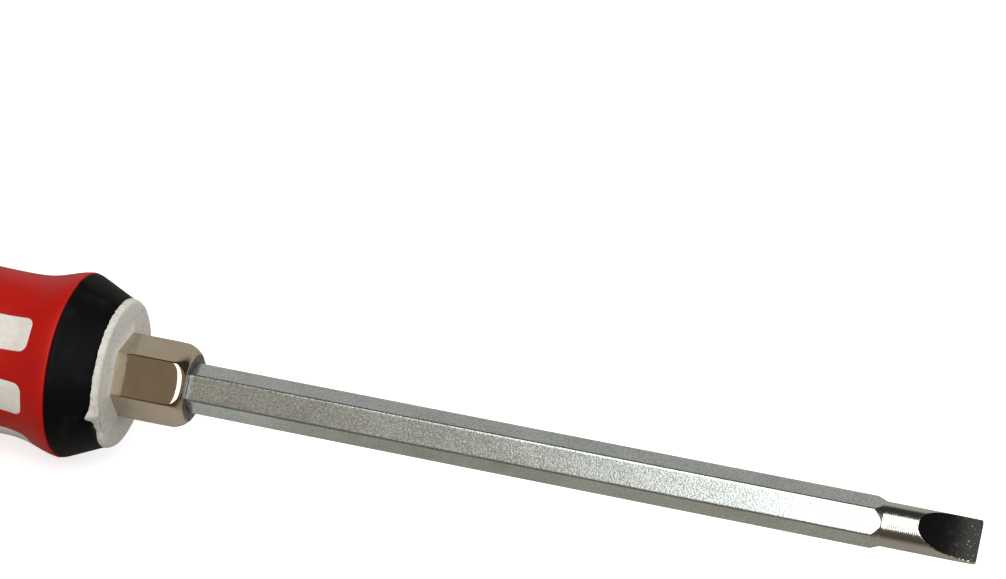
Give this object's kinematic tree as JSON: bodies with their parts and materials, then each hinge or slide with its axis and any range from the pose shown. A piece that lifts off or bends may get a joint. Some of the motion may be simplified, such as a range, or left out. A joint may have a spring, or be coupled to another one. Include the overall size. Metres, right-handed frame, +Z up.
{
  "type": "reversible screwdriver",
  "caption": "Screwdriver whose hexagonal blade, slotted at one end and cross-pointed at the other, pulls out of a hex bolster in a waisted grip and goes back the other way round.",
  "frame": {"origin": "on the surface that the tool lies on, under the middle of its length and width", "axes": "+X along the blade towards the slotted point, +Z up, and the side that the picture shows faces -Y and up"},
  "size_m": [0.2174, 0.0274, 0.0275],
  "materials": {
    "zinc_plate": "zinc plating with a fine crystalline sparkle, dark hollow-ground point",
    "nickel_plate": "warm polished nickel plating",
    "bright_steel": "bright hardened steel",
    "white_plastic": "moulded white plastic, slightly cloudy",
    "red_grip": "moulded red thermoplastic, soft sheen",
    "black_rubber": "moulded black thermoplastic rubber, satin"
  },
  "bodies": {
    "handle": {"handle_core": "white_plastic", "grip_sleeve": "red_grip", "front_ring": "black_rubber", "rear_cap": "black_rubber", "hex_bolster": "nickel_plate", "ball_clip": "bright_steel", "thrust_disc": "bright_steel"},
    "blade": {"blade": "zinc_plate"},
    "ball": {"detent_ball": "bright_steel"}
  },
  "joints": [
    {"name": "blade_slide", "type": "slide", "parent": "handle", "child": "blade", "axis": [1, 0, 0], "range_m": [0, 0.055]},
    {"name": "ball_press", "type": "slide", "parent": "handle", "child": "ball", "axis": [0, 0, -1], "range_m": [0, 0.0002], "stiffness_N_per_m": 200, "deforming": ["ball_clip"]}
  ]
}
